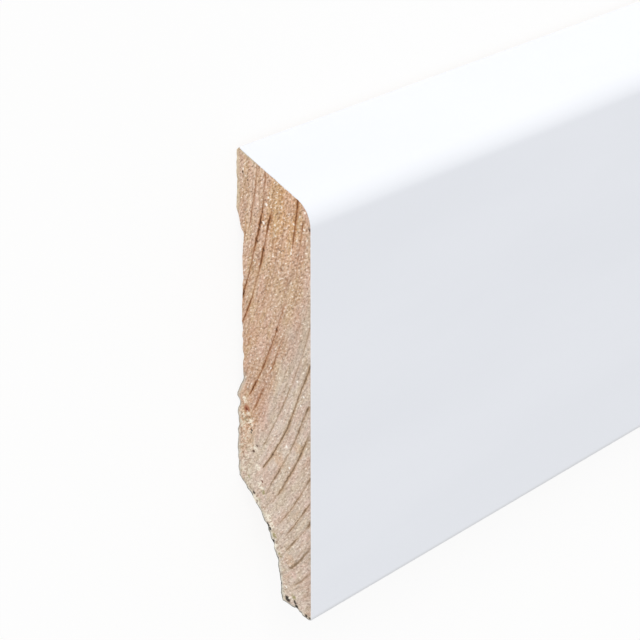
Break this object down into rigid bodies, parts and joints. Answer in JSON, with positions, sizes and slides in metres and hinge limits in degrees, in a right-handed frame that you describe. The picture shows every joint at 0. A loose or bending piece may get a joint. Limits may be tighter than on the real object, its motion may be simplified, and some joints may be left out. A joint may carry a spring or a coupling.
{
  "type": "skirting board length",
  "caption": "Straight length of solid softwood skirting with a painted face, a bevelled and rounded top edge, a relieved back and a coved foot.",
  "frame": {"origin": "under the middle of the board, on the plane that its back lands touch when it lies on its back", "axes": "+X along the board, +Y from the foot to the top edge, +Z out of the painted face"},
  "size_m": [2.4, 0.069, 0.0158],
  "materials": {
    "painted_softwood": "satin white paint on the face and top edge, bare sawn and planed softwood on the ends, back and base"
  },
  "bodies": {
    "root": {"skirting_board": "painted_softwood"}
  },
  "joints": []
}
